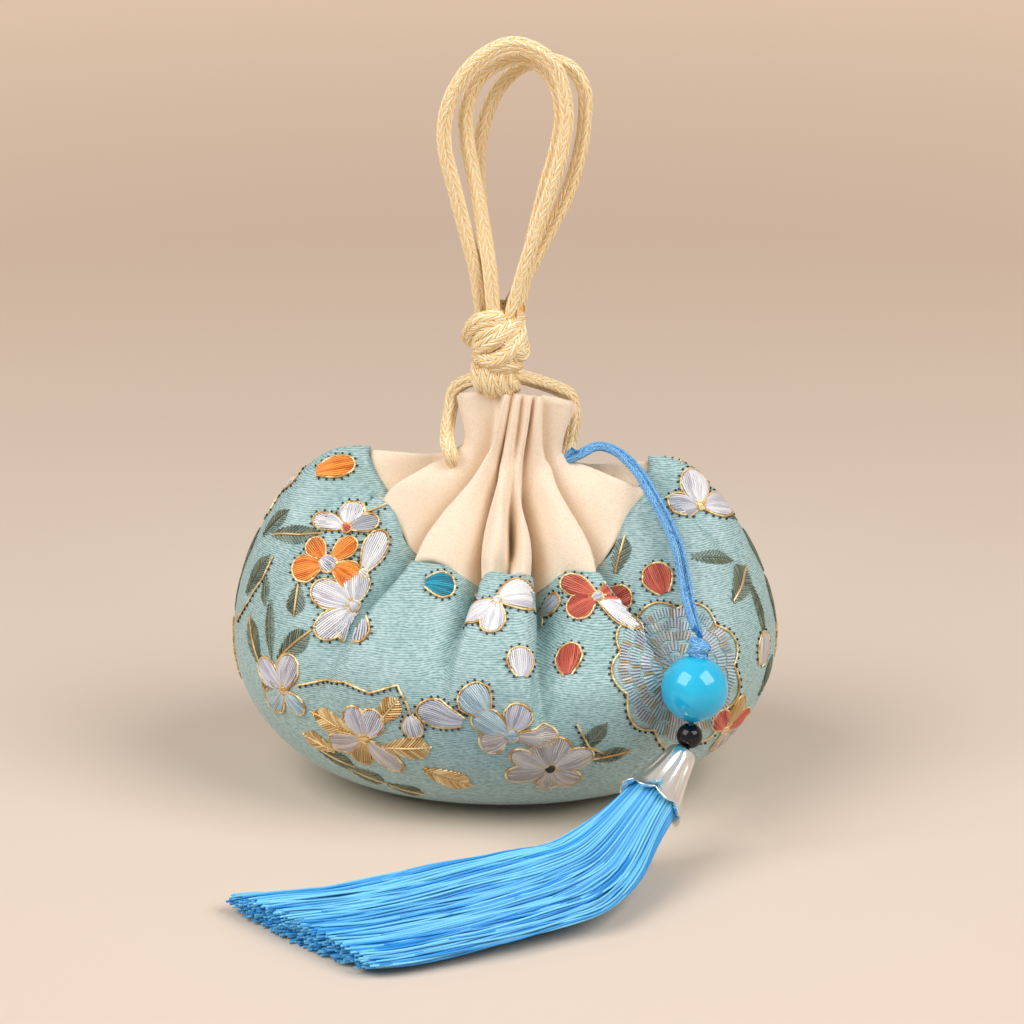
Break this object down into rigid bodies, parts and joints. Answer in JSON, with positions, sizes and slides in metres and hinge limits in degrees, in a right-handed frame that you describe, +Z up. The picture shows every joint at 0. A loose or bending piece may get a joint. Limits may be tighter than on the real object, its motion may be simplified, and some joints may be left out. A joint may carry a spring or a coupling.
{
  "type": "scented sachet",
  "caption": "Plump drawstring sachet of floral brocade with a pleated cotton collar, a knotted satin hanging loop and a beaded tassel on a blue cord.",
  "frame": {"origin": "on the ground under the middle of the pouch and its collar", "axes": "+X across the pouch to the right of its front, -Y the front, +Z up towards the hanging loop"},
  "size_m": [0.1038, 0.1268, 0.1416],
  "materials": {
    "brocade": "woven silk brocade with a floral pattern",
    "cotton": "plain fine cotton, pleated",
    "satin_cord": "braided satin cord",
    "blue_cord": "braided satin cord",
    "tassel_thread": "loose glossy thread",
    "cyan_glass": "polished milky glass",
    "black_glass": "polished black glass",
    "silver_plate": "bright silver plate"
  },
  "bodies": {
    "sachet": {"brocade_pouch": "brocade", "cotton_collar": "cotton", "drawstring_left": "satin_cord", "drawstring_right": "satin_cord", "hanger_knot": "satin_cord", "hanger_turn_front": "satin_cord", "hanger_turn_middle": "satin_cord", "hanger_turn_rear": "satin_cord", "blue_strand_left": "blue_cord", "blue_strand_right": "blue_cord", "pendant_knot": "blue_cord", "pendant_core": "blue_cord", "tassel_cap": "silver_plate", "tassel": "tassel_thread"},
    "blue_bead": {"blue_bead": "cyan_glass"},
    "black_bead": {"black_bead": "black_glass"}
  },
  "joints": [
    {"name": "blue_bead_spin", "type": "hinge", "parent": "sachet", "child": "blue_bead", "pos_m": [0.03391, -0.03484, 0.03044], "axis": [-0.1002, -0.1903, -0.9766], "continuous": true},
    {"name": "black_bead_spin", "type": "hinge", "parent": "sachet", "child": "black_bead", "pos_m": [0.03304, -0.03649, 0.02199], "axis": [-0.1002, -0.1903, -0.9766], "continuous": true}
  ]
}
